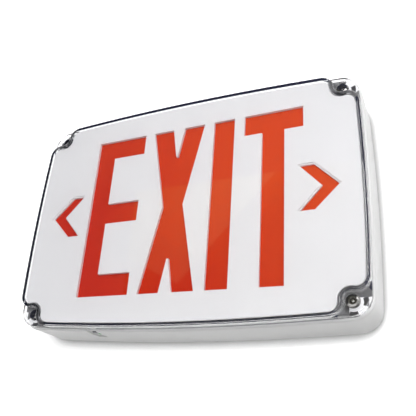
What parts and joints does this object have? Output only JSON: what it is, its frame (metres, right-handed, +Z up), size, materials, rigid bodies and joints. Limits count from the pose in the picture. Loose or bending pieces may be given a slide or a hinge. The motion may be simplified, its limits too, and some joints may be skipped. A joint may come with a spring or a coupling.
{
  "type": "emergency exit light",
  "caption": "Wall-mounted emergency exit sign: white housing, clear screwed cover over a stencil legend, red diffuser, LED strips, backup battery and a test button.",
  "frame": {"origin": "centre of the rear mounting face", "axes": "+Z up, the sign faces -Y, +Y points into the wall, +X to the viewer's right"},
  "size_m": [0.308, 0.054, 0.2104],
  "materials": {
    "white_housing": "satin",
    "white_stencil": "satin",
    "white_reflector": "matt",
    "clear_cover": "polished",
    "red_diffuser": "translucent satin",
    "seal_rubber": "matt",
    "foam_gasket": "matt",
    "black_rubber": "matt",
    "stainless_screws": "polished",
    "zinc_screws": "satin",
    "circuit_board": "solder resist",
    "led_package": "gloss",
    "lamination_steel": "satin",
    "bobbin_tape": "gloss",
    "relay_case": "gloss",
    "capacitor_sleeve": "gloss",
    "terminal_block": "satin",
    "battery_sleeve": "gloss",
    "black_plastic": "satin",
    "plated_strap": "satin",
    "button_plastic": "satin",
    "lamp_lens": "gloss"
  },
  "bodies": {
    "sign": {"housing": "white_housing", "back_plate": "white_housing", "back_seal": "seal_rubber", "back_plate_screws": "stainless_screws", "wall_gasket": "foam_gasket", "supply_grommet": "black_rubber", "lens_cover": "clear_cover", "cover_gasket": "seal_rubber", "cover_screws": "stainless_screws", "screw_washers": "stainless_screws", "stencil_plate": "white_stencil", "red_diffuser": "red_diffuser", "diffuser_retainers": "stainless_screws", "reflector_tray": "white_reflector", "reflector_screws": "zinc_screws", "led_board_upper": "circuit_board", "led_board_lower": "circuit_board", "leds_upper": "led_package", "leds_lower": "led_package", "led_board_screws": "zinc_screws", "control_board": "circuit_board", "control_board_screws": "zinc_screws", "transformer_core": "lamination_steel", "transformer_bobbin": "bobbin_tape", "transfer_relay": "relay_case", "capacitors": "capacitor_sleeve", "terminal_block": "terminal_block", "battery_cells": "battery_sleeve", "battery_end_caps": "black_plastic", "battery_strap": "plated_strap", "strap_screws": "zinc_screws", "switch_board": "circuit_board", "switch_board_screws": "zinc_screws", "test_switch": "black_plastic", "button_seal": "black_rubber", "indicator_lamp": "lamp_lens"},
    "test_button": {"test_button": "button_plastic"}
  },
  "joints": [
    {"name": "test_button_press", "type": "slide", "parent": "sign", "child": "test_button", "axis": [0, 0, 1], "range_m": [0, 0.0012], "stiffness_N_per_m": 1500, "springref_m": -0.0004}
  ]
}
